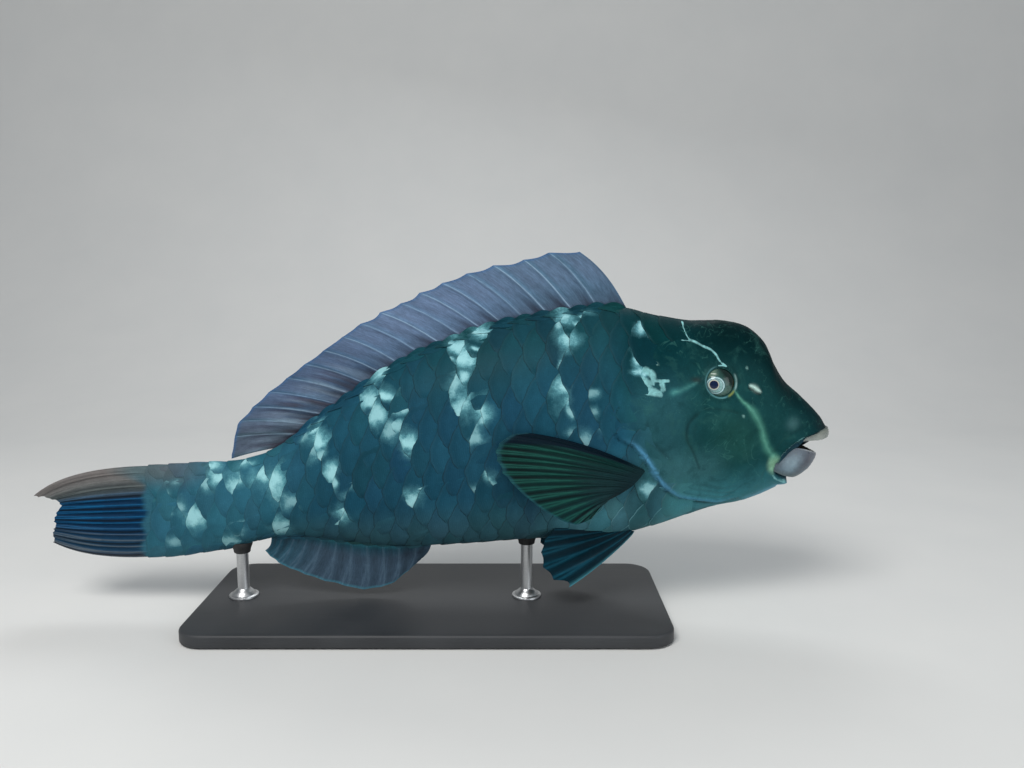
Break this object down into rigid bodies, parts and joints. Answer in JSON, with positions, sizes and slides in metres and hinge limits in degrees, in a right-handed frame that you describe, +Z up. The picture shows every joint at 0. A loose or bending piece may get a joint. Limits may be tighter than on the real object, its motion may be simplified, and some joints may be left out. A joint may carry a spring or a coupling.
{
  "type": "parrotfish",
  "caption": "Life-size still model of a green humphead parrotfish with pale flank blotches, held level over a flat display base by short rods.",
  "frame": {"origin": "on the floor under the middle of the overall bounding box, at the underside of the display base", "axes": "+X towards the snout, +Z up, Y = 0 is the fish's plane of symmetry, with its right side on -Y"},
  "size_m": [0.808, 0.2, 0.366],
  "materials": {
    "skin_head": "satin, wet-looking skin, dark teal-green",
    "skin_body": "satin scales, blue-teal grey with pale aqua blotches",
    "eye": "glossy, pale ring round a navy pupil",
    "beak": "satin enamel, pinkish white",
    "fin_dorsal": "satin membrane with paler rays, lavender-grey",
    "fin_anal": "satin membrane, grey-mauve and teal",
    "fin_tail": "satin membrane, blue with mauve-grey lobes",
    "fin_pectoral": "satin membrane, dark green with a navy leading edge",
    "fin_pelvic": "satin membrane, deep teal-blue",
    "stand_base": "matt charcoal paint",
    "stand_rod": "satin"
  },
  "bodies": {
    "root": {"head": "skin_head", "trunk": "skin_body", "tail_stalk": "skin_body", "eye_left": "eye", "eye_right": "eye", "beak_upper": "beak", "beak_lower": "beak", "dorsal_fin": "fin_dorsal", "anal_fin": "fin_anal", "tail_fin": "fin_tail", "pectoral_fin_left": "fin_pectoral", "pectoral_fin_right": "fin_pectoral", "pelvic_fin_left": "fin_pelvic", "pelvic_fin_right": "fin_pelvic", "stand_base": "stand_base", "stand_rod_front": "stand_rod", "stand_rod_rear": "stand_rod"}
  },
  "joints": []
}
